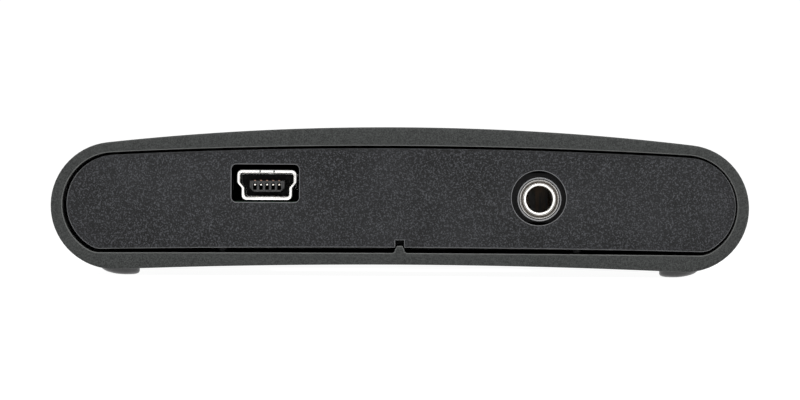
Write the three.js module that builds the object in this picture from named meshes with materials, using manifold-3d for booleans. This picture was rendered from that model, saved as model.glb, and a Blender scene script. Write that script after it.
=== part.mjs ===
// A pocket logic analyzer: an arched one-piece sleeve that holds a tray, a circuit board and two end panels.
// Millimetres, +Z up. The origin is on the surface that the feet stand on, under the middle of the case.
// -Y is the rear, with the USB port and the jack; +Y is the front, with the probe pins and the start button.
import * as THREE from "three";
import { mergeVertices } from "three/addons/utils/BufferGeometryUtils.js";
import Module from "manifold-3d";

const wasm = await Module();
wasm.setup();

// ---- Driving dimensions: the case ----

const caseWidth = 92.2;
const caseLength = 125;
const footProtrusion = 0.8;
const sideRadius = 8.4; // the sleeve's round sides
const crownRadius = 343; // its arched top
const undersideRadius = 900; // its slightly hollow underside
const clearance = 0.15; // between small fitted pieces

const sideX = caseWidth / 2 - sideRadius; // centres of the round sides
const axisZ = footProtrusion + sideRadius;
const endY = caseLength / 2;
const beyond = 5; // how far a cutting tool reaches past what it cuts

// Centres of the two big arcs. Both are tangent to the round sides.
const crownCentreZ = axisZ - Math.sqrt((crownRadius - sideRadius) ** 2 - sideX ** 2);
const undersideCentreZ = axisZ - Math.sqrt((undersideRadius + sideRadius) ** 2 - sideX ** 2);
const undersideZ = (x) => undersideCentreZ + Math.sqrt(undersideRadius ** 2 - x ** 2);

// The opening through the sleeve. rise lifts its side arcs above the outer ones, and arch its floor's middle.
const opening = { radius: 6.885, rise: 0.165, crown: 690, floor: 6.2, arch: 0.12, fillet: 3 };
const rib = { halfBase: 0.62, halfTop: 0.42, height: 0.95, fillet: 0.4 };

const foot = { x: 37.35, y: 53, radius: 2.62, flatRadius: 1.5, recess: 0.75 };
const footEdge = [[1.5, 0], [2.1, 0.09], [2.45, 0.26], [2.62, 0.55]]; // its rounded shoulder
const footTaper = { from: 0.5, rise: 0.5 }; // its outer side slopes up towards the case's round side
const footSpots = [[-1, -1, "rear_left"], [1, -1, "rear_right"], [-1, 1, "front_left"], [1, 1, "front_right"]];

const topLabel = { halfWidth: 33, halfLength: 44, corner: 5 };
const ratingLabel = { halfWidth: 18, halfLength: 12, corner: 1.5 };
const label = { sink: 0.05, thickness: 0.25 };

const caseScrews = [[-24, -44], [24, -44], [-24, 46], [24, 46]];
const boardScrews = [[-38, -48], [38, -48], [-38, 43], [38, 43]];
const countersunk = { headRadius: 2.3, shankRadius: 1.1, headHeight: 1.1, length: 5.15 };
const panHead = { headRadius: 2.25, shankRadius: 1, headHeight: 1.55 };
const cross = { halfWidth: 0.28, depth: 0.7, reach: 1.15 };

// ---- Driving dimensions: tray and panels ----

// Everything inside the sleeve sits a little to one side and high, within its play.
const insertShift = { x: 0.17, z: 0.07 };

const panel = { inset: 0.4, arch: 0.37, thickness: 2, recess: 0.4, notchHalf: 0.6, notchTop: 4.75 };
const panelOuterY = endY - panel.recess;
const panelInnerY = panelOuterY - panel.thickness;
rib.frontY = panelInnerY - 0.3; // it stops behind the front panel, which slides in last
const fuse = 0.4; // how deep a joined piece reaches into its neighbour

const board = {
  halfWidth: 43.4, rearY: -59.4, frontY: 52.4, thickness: 1.6, top: axisZ + 0.6, corner: 2, hole: 1.4,
};
board.bottom = board.top - board.thickness;
board.middle = board.top - board.thickness / 2;

const tray = { inset: 0.5, wall: 1.3, floor: 1.6, halfLength: 59.6, bossRadius: 2.5, boltHole: 1.3 };
tray.floorTop = axisZ - opening.floor + tray.inset + tray.floor;
tray.top = board.bottom - clearance;
tray.grooveHalf = rib.halfBase + rib.fillet + 0.33;
tray.grooveTop = axisZ - opening.floor + rib.height + 0.25;

// The panels' tabs reach in over the tray's floor and hook onto pegs there.
const panelTabs = {
  rear: [{ x: -31, half: 4 }, { x: 31, half: 4 }],
  front: [{ x: -39.2, half: 1.1 }, { x: 29, half: 4 }],
};
const tab = { length: 6, thickness: 1.2, pegRadius: 0.55, pegFromTip: 1.8, bottom: tray.floorTop + 0.3 };

// ---- Driving dimensions: rear connectors ----

// The mini-B receptacle: centre, mouth and section. wide and narrow are half widths, over and under its step.
const usb = {
  x: -17.76, z: axisZ + 2.75, mouthY: -61.6, length: 9.2, wall: 0.43,
  wide: 3.96, narrow: 3.38, halfHeight: 2.02, shoulder: 0.32, waist: -0.36, corner: 0.65,
};
usb.backY = usb.mouthY + usb.length;
const usbHole = { x: usb.x - 0.2, z: usb.z + 0.22, halfWidth: 4.48, halfHeight: 2.5, corner: 0.65 };
const tongue = { frontY: -60.5, baseY: -56.4, half: 2.3, low: -0.9, high: 0.56, bevel: 0.55, gap: 0.12 };
const contact = {
  count: 5, pitch: 0.8, half: 0.17, slotHalf: 0.26, low: -0.05, high: 0.18, tailLift: 0.08,
};
contact.firstX = usb.x - ((contact.count - 1) / 2) * contact.pitch;
contact.xs = Array.from({ length: contact.count }, (_, i) => contact.firstX + i * contact.pitch);
contact.tailY = usb.backY - 1;

const jack = {
  x: 18.26, z: axisZ + 1.05, mouthY: -61.95, bore: 1.75, barrel: 2.94, neck: 2.6, barrelLength: 5,
};
const jackHole = { x: jack.x - 0.07, z: jack.z + 0.16, radius: 3.61 };
const jackBody = { half: 3.8, low: -3.2, high: 3.6, frontY: -59.8, backY: -48, innerBore: 2 };
const jackSprings = [
  { name: "tip", side: -1, y: -51.2 },
  { name: "ring", side: 1, y: -53 },
  { name: "sleeve", side: -1, y: -55.6 },
];
const springSlot = { from: 1.2, to: 3.2, half: 1.25, low: -1.1 };

// ---- Driving dimensions: front end ----

// Two rows of square pins in one insulator that straddles the board's front edge.
const header = {
  x: -10, columns: 20, pitch: 2.54, pinHalf: 0.32, depth: 2.54, faceY: 55.2, pin: 6.1, tail: 2.8,
};
header.halfWidth = (header.columns * header.pitch) / 2;
header.halfHeight = header.pitch;

// The well round the pins, moulded on the front panel. Its floor laps over the rim of the insulator's face.
const well = {
  halfWidth: header.halfWidth + 1.2, halfHeight: header.halfHeight + 1.2, wall: 1.1, corner: 0.6,
  rearY: header.faceY + 0.3, floor: 1, lap: 0.4,
};

const indicatorZ = axisZ + 2; // lamps and button share one centre height
const lamp = { xs: [22, 26, 30], radius: 1.1, flangeRadius: 1.6, rearY: 52.2, proud: 0.1, dome: 0.2 };
const led = { halfWidth: 0.8, rearY: 50.4, frontY: 51.8, height: 1.5 };
const button = {
  x: 37, radius: 3.2, flangeRadius: 4, rearY: 54, proud: 0.4, travel: 0.5, gap: 0.2, edge: 0.4,
};
const flange = { rearY: panelInnerY - 1.2, frontY: panelInnerY - 0.3 }; // behind the panel
const plunger = { halfWidth: 1.3, halfHeight: 0.55, rearY: 48.7 };
const buttonBox = { halfWidth: 3.5, rearY: 46.6, frontY: 50.4, height: 2.5 };

// ---- Driving dimensions: what stands on the board ----

const standOff = 0.1; // solder under each component

const packages = [
  { name: "gate_array_chip", x: -2, y: 2, halfX: 10, halfY: 10, height: 1.5 },
  { name: "usb_controller_chip", x: -18, y: -34, halfX: 6, halfY: 6, height: 1.4 },
  { name: "memory_chip_1", x: 22, y: -6, halfX: 9.2, halfY: 5.1, height: 1.1 },
  { name: "memory_chip_2", x: 22, y: 9, halfX: 9.2, halfY: 5.1, height: 1.1 },
  { name: "input_buffer_chip_1", x: -29, y: 34, halfX: 5.1, halfY: 3.1, height: 1.1 },
  { name: "input_buffer_chip_2", x: -15, y: 34, halfX: 5.1, halfY: 3.1, height: 1.1 },
  { name: "input_buffer_chip_3", x: -1, y: 34, halfX: 5.1, halfY: 3.1, height: 1.1 },
  { name: "input_buffer_chip_4", x: 13, y: 34, halfX: 5.1, halfY: 3.1, height: 1.1 },
  { name: "configuration_chip", x: -28, y: 6, halfX: 2.6, halfY: 2, height: 1.5 },
  { name: "regulator_chip", x: 4, y: -36, halfX: 3.3, halfY: 1.8, height: 1.6 },
  { name: "capacitor_1", x: -3, y: -24, halfX: 2.1, halfY: 3.6, height: 2.8 },
  { name: "capacitor_2", x: 4, y: -24, halfX: 2.1, halfY: 3.6, height: 2.8 },
];
const inductor = { x: 6, y: -46, radius: 3, waist: 2.3, height: 2.8, flangeHeight: 0.7 };
const crystal = { x: -18, y: -20, halfX: 5.6, halfY: 2.3, corner: 2.2, height: 3.6 };

// ---- Materials ----

function material(color, roughness, metalness = 0) {
  return new THREE.MeshStandardMaterial({ color, roughness, metalness });
}

const materials = {
  sleeve: material(0x414341, 0.55, 0.2),
  panel: material(0x34373b, 0.7),
  tray: material(0x26282a, 0.6),
  rubber: material(0x1c1c1d, 0.9),
  screw: material(0x4c4c4f, 0.35, 1),
  steel: material(0xc9c9c6, 0.25, 1),
  plated: material(0xd8d6d0, 0.2, 1),
  gold: material(0xd9b25a, 0.3, 1),
  connector: material(0x131314, 0.6),
  board: material(0x16402a, 0.5),
  chip: material(0x1b1c1e, 0.55),
  lens: material(0xdfe7e2, 0.2),
  led: material(0xe9e4c8, 0.4),
  button: material(0x5a5d61, 0.6),
  label: material(0x2b2d30, 0.45),
  capacitor: material(0xc08a2c, 0.5),
};

// ---- Outlines: lists of points in XZ or XY ----

const point = (x, y) => new THREE.Vector2(x, y);

// Points along a circular arc, both ends included.
function arc(x, y, radius, from, to, steps) {
  return Array.from({ length: steps + 1 }, (_, i) => {
    const angle = from + ((to - from) * i) / steps;
    return point(x + radius * Math.cos(angle), y + radius * Math.sin(angle));
  });
}

// One closed outline from several stretches, without the points that they share.
function outline(...stretches) {
  const points = stretches.flat();
  return points.filter((each, i) => each.distanceTo(points.at(i - 1)) > 1e-4);
}

// The right-hand stretch of a symmetric outline, seen in the mirror at x and run the other way.
const mirrored = (points, x = 0) => points.map((each) => point(2 * x - each.x, each.y)).reverse();

// The sleeve's outside: arched top, round sides, slightly hollow underside.
function sleeveOutline() {
  const crownAngle = Math.atan2(axisZ - crownCentreZ, sideX);
  const undersideAngle = Math.atan2(axisZ - undersideCentreZ, sideX);
  const side = outline(
    arc(sideX, axisZ, sideRadius, undersideAngle - Math.PI, 0, 10),
    arc(sideX, axisZ, sideRadius, 0, crownAngle, 10),
  );
  return outline(
    arc(0, undersideCentreZ, undersideRadius, Math.PI - undersideAngle, undersideAngle, 8),
    side,
    arc(0, crownCentreZ, crownRadius, crownAngle, Math.PI - crownAngle, 18),
    mirrored(side),
  );
}

// The opening through the sleeve, drawn in by inset: a nearly flat top, round sides, and a floor with soft
// corners that rises by arch in the middle.
function openingOutline(inset = 0, arch = opening.arch) {
  const radius = opening.radius - inset;
  const crown = opening.crown - inset;
  const fillet = opening.fillet - inset;
  const centreZ = axisZ + opening.rise;
  const floorZ = axisZ - opening.floor + inset;
  const crownDrop = Math.sqrt((crown - radius) ** 2 - sideX ** 2);
  const crownAngle = Math.atan2(crownDrop, sideX);
  const filletDrop = centreZ - floorZ - fillet;
  const filletOut = Math.sqrt((radius - fillet) ** 2 - filletDrop ** 2);
  const filletAngle = -Math.atan2(filletDrop, filletOut);
  const side = outline(
    arc(sideX + filletOut, floorZ + fillet, fillet, -Math.PI / 2, filletAngle, 3),
    arc(sideX, centreZ, radius, filletAngle, crownAngle, 12),
  );
  const top = arc(0, centreZ - crownDrop, crown, crownAngle, Math.PI - crownAngle, 10);
  const reach = sideX + filletOut;
  const floor = [-0.75, -0.5, -0.25, 0, 0.25, 0.5, 0.75].map((share) => (
    point(share * reach, floorZ + arch * (1 - share ** 2))
  ));
  return outline(floor, side, top, mirrored(side));
}

// The guide rib's section, with concave fillets at its foot. It reaches a little below the floor.
function ribOutline() {
  const floorZ = axisZ - opening.floor + opening.arch;
  const reach = rib.halfBase + rib.fillet;
  const side = outline(
    [point(reach, floorZ - fuse)],
    arc(reach, floorZ + rib.fillet, rib.fillet, 1.5 * Math.PI, Math.PI, 4),
    [point(rib.halfTop, floorZ + rib.height)],
  );
  return outline(side, mirrored(side));
}

// A rectangle with round corners.
function roundedRectangle(x, y, halfWidth, halfHeight, radius, steps = 3) {
  const corners = [[1, 1], [-1, 1], [-1, -1], [1, -1]];
  return outline(...corners.map(([sx, sy], i) => arc(
    x + sx * (halfWidth - radius), y + sy * (halfHeight - radius), radius,
    (i * Math.PI) / 2, ((i + 1) * Math.PI) / 2, steps,
  )));
}

// The mini-B receptacle's section, wide at the top and stepped in below, drawn in by inset.
function usbOutline(inset) {
  const high = usb.halfHeight - inset;
  const corner = usb.corner - inset * 0.6;
  const side = outline(
    arc(usb.x + usb.narrow - inset - corner, usb.z - high + corner, corner, -Math.PI / 2, 0, 3),
    [point(usb.x + usb.narrow - inset, usb.z + usb.waist)],
    [point(usb.x + usb.wide - inset, usb.z + usb.shoulder)],
    arc(usb.x + usb.wide - inset - corner, usb.z + high - corner, corner, 0, Math.PI / 2, 3),
  );
  return outline(side, mirrored(side, usb.x));
}

// ---- Solids ----

function extruded(points, holes, depth) {
  const shape = new THREE.Shape(points);
  shape.holes = holes.map((hole) => new THREE.Path(hole));
  return new THREE.ExtrudeGeometry(shape, { depth, bevelEnabled: false });
}

// A prism along Y from an outline in XZ, with optional holes.
function prismY(points, fromY, toY, holes = []) {
  const geometry = extruded(points, holes, toY - fromY);
  return geometry.rotateX(Math.PI / 2).translate(0, toY, 0);
}

// A prism along Z from an outline in XY, with optional holes.
function prismZ(points, fromZ, toZ, holes = []) {
  return extruded(points, holes, toZ - fromZ).translate(0, 0, fromZ);
}

// A box between two corners, given as [x, y, z].
function block([x0, y0, z0], [x1, y1, z1]) {
  const geometry = new THREE.BoxGeometry(x1 - x0, y1 - y0, z1 - z0);
  return geometry.translate((x0 + x1) / 2, (y0 + y1) / 2, (z0 + z1) / 2);
}

function rodY(x, z, radius, fromY, toY, sides = 24) {
  return new THREE.CylinderGeometry(radius, radius, toY - fromY, sides).translate(x, (fromY + toY) / 2, z);
}

function rodZ(x, y, radius, fromZ, toZ, sides = 16) {
  const geometry = new THREE.CylinderGeometry(radius, radius, toZ - fromZ, sides);
  return geometry.rotateX(Math.PI / 2).translate(x, y, (fromZ + toZ) / 2);
}

// A turned piece from [radius, distance along the axis] pairs, which rise on its outside.
function turned(pairs, sides) {
  return new THREE.LatheGeometry(pairs.map(([radius, along]) => point(radius, along)), sides);
}

const turnedY = (pairs, x, z, sides) => turned(pairs, sides).translate(x, 0, z);
const turnedZ = (pairs, x, y, sides) => turned(pairs, sides).rotateX(Math.PI / 2).translate(x, y, 0);

function solidOf(geometry) {
  const bare = new THREE.BufferGeometry().setAttribute("position", geometry.getAttribute("position"));
  if (geometry.index) bare.setIndex(geometry.index);
  const merged = mergeVertices(bare, 1e-4);
  return new wasm.Manifold(new wasm.Mesh({
    numProp: 3,
    vertProperties: merged.getAttribute("position").array,
    triVerts: new Uint32Array(merged.index.array),
  }));
}

function geometryOf(solid) {
  const { vertProperties, triVerts } = solid.getMesh();
  const geometry = new THREE.BufferGeometry();
  geometry.setAttribute("position", new THREE.BufferAttribute(vertProperties, 3));
  geometry.setIndex(new THREE.BufferAttribute(triVerts, 1));
  geometry.computeVertexNormals();
  return geometry;
}

const join = (...pieces) => geometryOf(pieces.map(solidOf).reduce((whole, piece) => whole.add(piece)));
const cut = (...pieces) => geometryOf(pieces.map(solidOf).reduce((left, tool) => left.subtract(tool)));
const common = (...pieces) => geometryOf(pieces.map(solidOf).reduce((both, piece) => both.intersect(piece)));

// ---- Sleeve, labels, feet and case screws ----

// A sheet with round corners that follows the arched top, between two depths below it.
function crownSheet(size, margin, fromDepth, toDepth) {
  const [halfWidth, halfLength] = [size.halfWidth + margin, size.halfLength + margin];
  const half = Math.asin((halfWidth + 1) / crownRadius);
  const band = prismY(outline(
    arc(0, crownCentreZ, crownRadius - fromDepth, Math.PI / 2 - half, Math.PI / 2 + half, 10),
    arc(0, crownCentreZ, crownRadius - toDepth, Math.PI / 2 + half, Math.PI / 2 - half, 10),
  ), -endY, endY);
  const patch = roundedRectangle(0, 0, halfWidth, halfLength, size.corner + margin);
  return common(band, prismZ(patch, axisZ, 3 * axisZ));
}

// A sheet with round corners that follows the underside, between two heights above it.
function undersideSheet(size, margin, fromHeight, toHeight) {
  const [halfWidth, halfLength] = [size.halfWidth + margin, size.halfLength + margin];
  const half = Math.asin((halfWidth + 1) / undersideRadius);
  const band = prismY(outline(
    arc(0, undersideCentreZ, undersideRadius + fromHeight, Math.PI / 2 + half, Math.PI / 2 - half, 6),
    arc(0, undersideCentreZ, undersideRadius + toHeight, Math.PI / 2 - half, Math.PI / 2 + half, 6),
  ), -endY, endY);
  const patch = roundedRectangle(0, 0, halfWidth, halfLength, size.corner + margin);
  return common(band, prismZ(patch, -beyond, axisZ));
}

const labelIn = (sheet, size) => sheet(size, 0, label.sink, label.sink + label.thickness);
const labelRecess = (sheet, size) => sheet(size, clearance, -1, label.sink + label.thickness + clearance);

// The countersink and the through hole for a case screw.
function screwTools([x, y]) {
  const z = undersideZ(x);
  const wide = countersunk.headRadius + 0.2;
  const narrow = countersunk.shankRadius + 0.3;
  const coneTop = z + countersunk.headHeight + clearance;
  const head = [[0, z - 1], [wide, z - 1], [wide, z + clearance], [narrow, coneTop], [0, coneTop]];
  return [turnedZ(head, x, y, 16), rodZ(x, y, narrow, z, axisZ - 4)];
}

function footRecess([sx, sy]) {
  const top = footProtrusion + foot.recess + clearance;
  return rodZ(sx * foot.x, sy * foot.y, foot.radius + clearance, -beyond, top, 22);
}

function caseSleeve() {
  const tube = prismY(sleeveOutline(), -endY, endY, [openingOutline()]);
  return cut(
    join(tube, prismY(ribOutline(), -endY, rib.frontY)),
    ...footSpots.map(footRecess),
    ...caseScrews.flatMap(screwTools),
    labelRecess(crownSheet, topLabel),
    labelRecess(undersideSheet, ratingLabel),
  );
}

// A rubber foot with a flat that the case stands on. Its outer side tapers away.
function rubberFoot([sx, sy]) {
  const { x, y, radius, recess } = foot;
  const top = footProtrusion + recess;
  const section = [[0, 0], ...footEdge, [radius, top], [0, top]];
  const run = radius - footTaper.from;
  const wedge = [[0, -1], [0, 0], [2 * run, 2 * footTaper.rise], [2 * run, -1]];
  const points = wedge.map(([out, z]) => point(sx * (x + footTaper.from + out), z));
  return cut(turnedZ(section, sx * x, sy * y, 22), prismY(points, -endY, endY));
}

// The two slots of a cross recess, from the head's face at z into the head (direction 1 is up).
function crossSlots(x, y, z, direction) {
  const [low, high] = [z - direction * cross.depth, z + direction * cross.depth].sort((a, b) => a - b);
  const { halfWidth, reach } = cross;
  return [
    block([x - reach, y - halfWidth, low], [x + reach, y + halfWidth, high]),
    block([x - halfWidth, y - reach, low], [x + halfWidth, y + reach, high]),
  ];
}

function countersunkScrew([x, y]) {
  const { headRadius, shankRadius, headHeight, length } = countersunk;
  const z = undersideZ(x) + clearance;
  const section = [
    [0, z], [headRadius - 0.1, z], [headRadius, z + 0.1], [shankRadius, z + headHeight],
    [shankRadius, z + length], [0, z + length],
  ];
  return cut(turnedZ(section, x, y, 16), ...crossSlots(x, y, z, 1));
}

function panScrew([x, y]) {
  const { headRadius, shankRadius, headHeight } = panHead;
  const z = board.top + clearance;
  const end = tray.floorTop + 0.4;
  const section = [
    [0, end], [shankRadius, end], [shankRadius, z], [headRadius - 0.05, z], [headRadius, z + headHeight / 2],
    [headRadius * 0.75, z + headHeight - 0.1], [0, z + headHeight],
  ];
  return cut(turnedZ(section, x, y, 16), ...crossSlots(x, y, z + headHeight, -1));
}

// ---- Tray and end panels ----

const pegY = (side) => side * (panelInnerY - tab.length + tab.pegFromTip);
const pegTop = tab.bottom + tab.thickness;
const peg = (x, side) => rodZ(x, pegY(side), tab.pegRadius, tray.floorTop - fuse, pegTop, 12);

// A shallow tub that fits the sleeve's opening, with a groove for the rib and bosses for the screws.
function chassisTray() {
  const high = 2 * axisZ;
  const reach = caseWidth / 2;
  const hull = prismY(openingOutline(tray.inset), -tray.halfLength, tray.halfLength);
  const hollow = common(
    prismY(openingOutline(tray.inset + tray.wall), -endY, endY),
    block([-reach, -endY, tray.floorTop], [reach, endY, high]),
  );
  const lid = block([-reach, -endY, tray.top], [reach, endY, high]);
  const groove = block([-tray.grooveHalf, -endY, 0], [tray.grooveHalf, endY, tray.grooveTop]);
  const relief = well.halfWidth + well.wall + 0.3;
  const wellRelief = block([header.x - relief, header.faceY, 0], [header.x + relief, endY, high]);
  const bosses = [
    ...boardScrews.map(([x, y]) => rodZ(x, y, tray.bossRadius, tray.floorTop - fuse, tray.top)),
    ...caseScrews.map(([x, y]) => rodZ(x, y, tray.bossRadius, tray.floorTop - fuse, tray.top - 0.5)),
  ];
  const pegs = [
    ...panelTabs.rear.map(({ x }) => peg(x, -1)),
    ...panelTabs.front.map(({ x }) => peg(x, 1)),
  ];
  const holes = [
    ...boardScrews.map(([x, y]) => rodZ(x, y, tray.boltHole, tray.floorTop, high)),
    ...caseScrews.map(([x, y]) => rodZ(x - insertShift.x, y, tray.boltHole + clearance, 0, high)),
  ];
  return cut(join(cut(hull, hollow, lid, groove, wellRelief), ...bosses, ...pegs), ...holes);
}

function panelTab({ x, half }, side) {
  const ends = [side * (panelInnerY + fuse), side * (panelInnerY - tab.length)].sort((a, b) => a - b);
  const plate = block([x - half, ends[0], tab.bottom], [x + half, ends[1], tab.bottom + tab.thickness]);
  return cut(plate, rodZ(x, pegY(side), tab.pegRadius + clearance, 0, axisZ, 12));
}

// An end plate that fills the opening.
function endPlate(side) {
  const [from, to] = [side * panelInnerY, side * panelOuterY].sort((a, b) => a - b);
  return prismY(openingOutline(panel.inset, panel.arch), from, to);
}

// The rear plate, with a notch that clears the rib.
function rearPanel() {
  const { x, z, halfWidth, halfHeight, corner } = usbHole;
  const notch = block(
    [-insertShift.x - panel.notchHalf, -endY, 0],
    [-insertShift.x + panel.notchHalf, endY, panel.notchTop],
  );
  return cut(
    join(endPlate(-1), ...panelTabs.rear.map((spot) => panelTab(spot, -1))),
    notch,
    prismY(roundedRectangle(x, z, halfWidth, halfHeight, corner), -endY - 1, -panelInnerY + 1),
    rodY(jackHole.x, jackHole.z, jackHole.radius, -endY - 1, -panelInnerY + 1, 36),
  );
}

function frontPanel() {
  const { halfWidth, halfHeight, wall, corner, lap } = well;
  const inner = roundedRectangle(header.x, board.middle, halfWidth, halfHeight, corner);
  const outer = roundedRectangle(header.x, board.middle, halfWidth + wall, halfHeight + wall, corner + wall);
  const [windowWidth, windowHeight] = [header.halfWidth - lap, header.halfHeight - lap];
  const collar = common(
    prismY(outer, well.rearY, panelInnerY + fuse),
    prismY(openingOutline(panel.inset + 0.3, panel.arch), 0, endY),
  );
  return cut(
    join(endPlate(1), collar, ...panelTabs.front.map((spot) => panelTab(spot, 1))),
    prismY(inner, well.rearY + well.floor, endY),
    prismY(roundedRectangle(header.x, board.middle, windowWidth, windowHeight, corner), header.faceY, endY),
    rodY(button.x, indicatorZ, button.radius + button.gap, header.faceY, endY + 1, 32),
    ...lamp.xs.map((x) => rodY(x, indicatorZ, lamp.radius + clearance, header.faceY, endY + 1, 20)),
  );
}

// ---- Start button and lamps ----

function startButton() {
  const { radius, flangeRadius, rearY, edge } = button;
  const front = panelOuterY + button.proud;
  return turnedY([
    [0, rearY], [radius, rearY], [radius, flange.rearY], [flangeRadius, flange.rearY],
    [flangeRadius, flange.frontY], [radius, flange.frontY], [radius, front - edge],
    [radius - edge, front], [0, front - edge / 2],
  ], button.x, indicatorZ, 28);
}

// The bar behind the button, which slides in the switch.
function switchPlunger() {
  const { halfWidth, halfHeight, rearY } = plunger;
  return block(
    [button.x - halfWidth, rearY, indicatorZ - halfHeight],
    [button.x + halfWidth, button.rearY - clearance, indicatorZ + halfHeight],
  );
}

function buttonSwitch() {
  const { halfWidth, rearY, frontY, height } = buttonBox;
  const [slotX, slotZ] = [plunger.halfWidth + 0.2, plunger.halfHeight + 0.2];
  const slotY = plunger.rearY - button.travel - 0.2;
  const [low, high] = [board.top + standOff, board.top + height];
  return cut(
    block([button.x - halfWidth, rearY, low], [button.x + halfWidth, frontY, high]),
    block([button.x - slotX, slotY, indicatorZ - slotZ], [button.x + slotX, frontY + 1, indicatorZ + slotZ]),
  );
}

function lightPipe(x) {
  const { radius, flangeRadius, rearY, proud, dome } = lamp;
  const front = panelOuterY + proud;
  return turnedY([
    [0, rearY], [radius, rearY], [radius, flange.rearY], [flangeRadius, flange.rearY],
    [flangeRadius, flange.frontY], [radius, flange.frontY], [radius, front - dome],
    [radius - 0.3, front + dome / 2], [0, front + dome],
  ], x, indicatorZ, 14);
}

const ledChip = (x) => block(
  [x - led.halfWidth, led.rearY, board.top + standOff],
  [x + led.halfWidth, led.frontY, board.top + led.height],
);

// ---- USB receptacle ----

// The folded sheet shell, open at its mouth, closed at its back but for the contacts' tails.
function usbShell() {
  const tube = prismY(usbOutline(0), usb.mouthY, usb.backY, [usbOutline(usb.wall)]);
  const back = prismY(usbOutline(0), usb.backY - usb.wall, usb.backY);
  const tailSlot = block(
    [usb.x - tongue.half, usb.backY - 1.6, 0],
    [usb.x + tongue.half, usb.backY + 1, usb.z + contact.high + 0.2],
  );
  return cut(join(tube, back), tailSlot);
}

// The moulded tongue and its base, slotted from end to end for the contacts.
function usbTongue() {
  const { frontY, baseY, half, low, high, bevel, gap } = tongue;
  const side = [
    point(usb.x + half - bevel, usb.z + low),
    point(usb.x + half, usb.z + low + bevel),
    point(usb.x + half, usb.z + high),
  ];
  const roof = usb.z + high - 0.25;
  const slots = contact.xs.map((x) => block(
    [x - contact.slotHalf, frontY - 1, usb.z + low + 0.2],
    [x + contact.slotHalf, usb.backY + 1, roof],
  ));
  return cut(
    join(
      prismY(usbOutline(usb.wall + gap), baseY, usb.backY - usb.wall - clearance),
      prismY(outline(side, mirrored(side, usb.x)), frontY, baseY + fuse),
    ),
    ...slots,
    block([usb.x - half - 0.1, contact.tailY - fuse, 0], [usb.x + half + 0.1, usb.backY + 1, roof]),
  );
}

// A contact strip that runs along its slot in the tongue and steps down to its solder pad on the board.
function usbContact(x) {
  const { half, low, high, tailLift, tailY } = contact;
  const tailZ = board.top + tailLift;
  return join(
    block([x - half, tongue.frontY + 0.25, usb.z + low], [x + half, tailY, usb.z + high]),
    block([x - half, tailY - 0.25, tailZ], [x + half, tailY, usb.z + high]),
    block([x - half, tailY - 0.25, tailZ], [x + half, usb.backY + 0.9, tailZ + 0.25]),
  );
}

// ---- Jack ----

// The plated barrel: a rolled lip round its bore, a groove, a ring, and a collar that stops at the housing.
function jackBarrel() {
  const { mouthY, bore, barrel, neck, barrelLength } = jack;
  const section = [
    [bore, barrelLength], [bore, 0.25], [bore + 0.25, 0], [2.1, 0.05], [2.2, 0.3], [2.35, 0.3], [2.42, 0.12],
    [2.55, 0.12], [2.6, 0.35], [2.68, 0.35], [2.76, 0.2], [barrel, 0.3], [barrel, 1.85], [neck, 1.85],
    [neck, barrelLength], [bore, barrelLength],
  ];
  return turnedY(section.map(([radius, depth]) => [radius, mouthY + depth]), jack.x, jack.z, 32);
}

function jackHousing() {
  const { half, low, high, frontY, backY, innerBore } = jackBody;
  const slots = jackSprings.map(({ side, y }) => {
    const xs = [jack.x + side * springSlot.from, jack.x + side * springSlot.to].sort((a, b) => a - b);
    return block(
      [xs[0], y - springSlot.half, jack.z + springSlot.low],
      [xs[1], y + springSlot.half, jack.z + high + 1],
    );
  });
  return cut(
    block([jack.x - half, frontY, jack.z + low], [jack.x + half, backY, jack.z + high]),
    rodY(jack.x, jack.z, jack.neck + clearance, frontY - 1, jack.mouthY + jack.barrelLength + clearance, 28),
    rodY(jack.x, jack.z, innerBore, frontY - 1, backY - 1, 28),
    ...slots,
  );
}

// A bent leaf that reaches into the bore from one side. Each corner is [outwards, along Y].
function jackSpring({ side, y }) {
  const leaf = [[3, -1.05], [2.75, -1.05], [1.35, 0.1], [2.75, 1.05], [3, 1.05], [1.6, 0.1]];
  const points = leaf.map(([out, along]) => point(jack.x + side * out, y + along));
  return prismZ(points, jack.z - 0.9, jack.z + 2.4);
}

// ---- Probe header ----

function probeHeader() {
  const { x, halfWidth, halfHeight, faceY, depth, pinHalf, pitch, columns, pin, tail } = header;
  const insulator = block(
    [x - halfWidth, faceY - depth, board.middle - halfHeight],
    [x + halfWidth, faceY, board.middle + halfHeight],
  );
  const pins = [];
  for (let column = 0; column < columns; column += 1) {
    for (const row of [-0.5, 0.5]) {
      const pinX = x + (column - (columns - 1) / 2) * pitch;
      const pinZ = board.middle + row * pitch;
      pins.push(block(
        [pinX - pinHalf, faceY - depth - tail, pinZ - pinHalf],
        [pinX + pinHalf, faceY + pin, pinZ + pinHalf],
      ));
    }
  }
  return join(insulator, ...pins);
}

// ---- Board and its components ----

function mainBoard() {
  const { halfWidth, rearY, frontY, corner, hole, bottom, top } = board;
  const outer = roundedRectangle(0, (rearY + frontY) / 2, halfWidth, (frontY - rearY) / 2, corner);
  const holes = boardScrews.map(([x, y]) => outline(arc(x, y, hole, 0, 2 * Math.PI, 16)));
  const slotHalf = jackBody.half + 0.3;
  const jackSlot = block(
    [jack.x - slotHalf, rearY - 1, 0],
    [jack.x + slotHalf, jackBody.backY + 0.3, 2 * axisZ],
  );
  return cut(prismZ(outer, bottom, top, holes), jackSlot);
}

// A moulded package whose upper faces draw in a little.
function packageOf({ x, y, halfX, halfY, height }) {
  const draft = Math.min(0.25, height / 4);
  const low = board.top + standOff;
  const geometry = block([x - halfX, y - halfY, low], [x + halfX, y + halfY, low + height]);
  const position = geometry.getAttribute("position");
  for (let i = 0; i < position.count; i += 1) {
    if (position.getZ(i) > low + height / 2) {
      position.setX(i, position.getX(i) - Math.sign(position.getX(i) - x) * draft);
      position.setY(i, position.getY(i) - Math.sign(position.getY(i) - y) * draft);
    }
  }
  return geometry;
}

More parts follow.
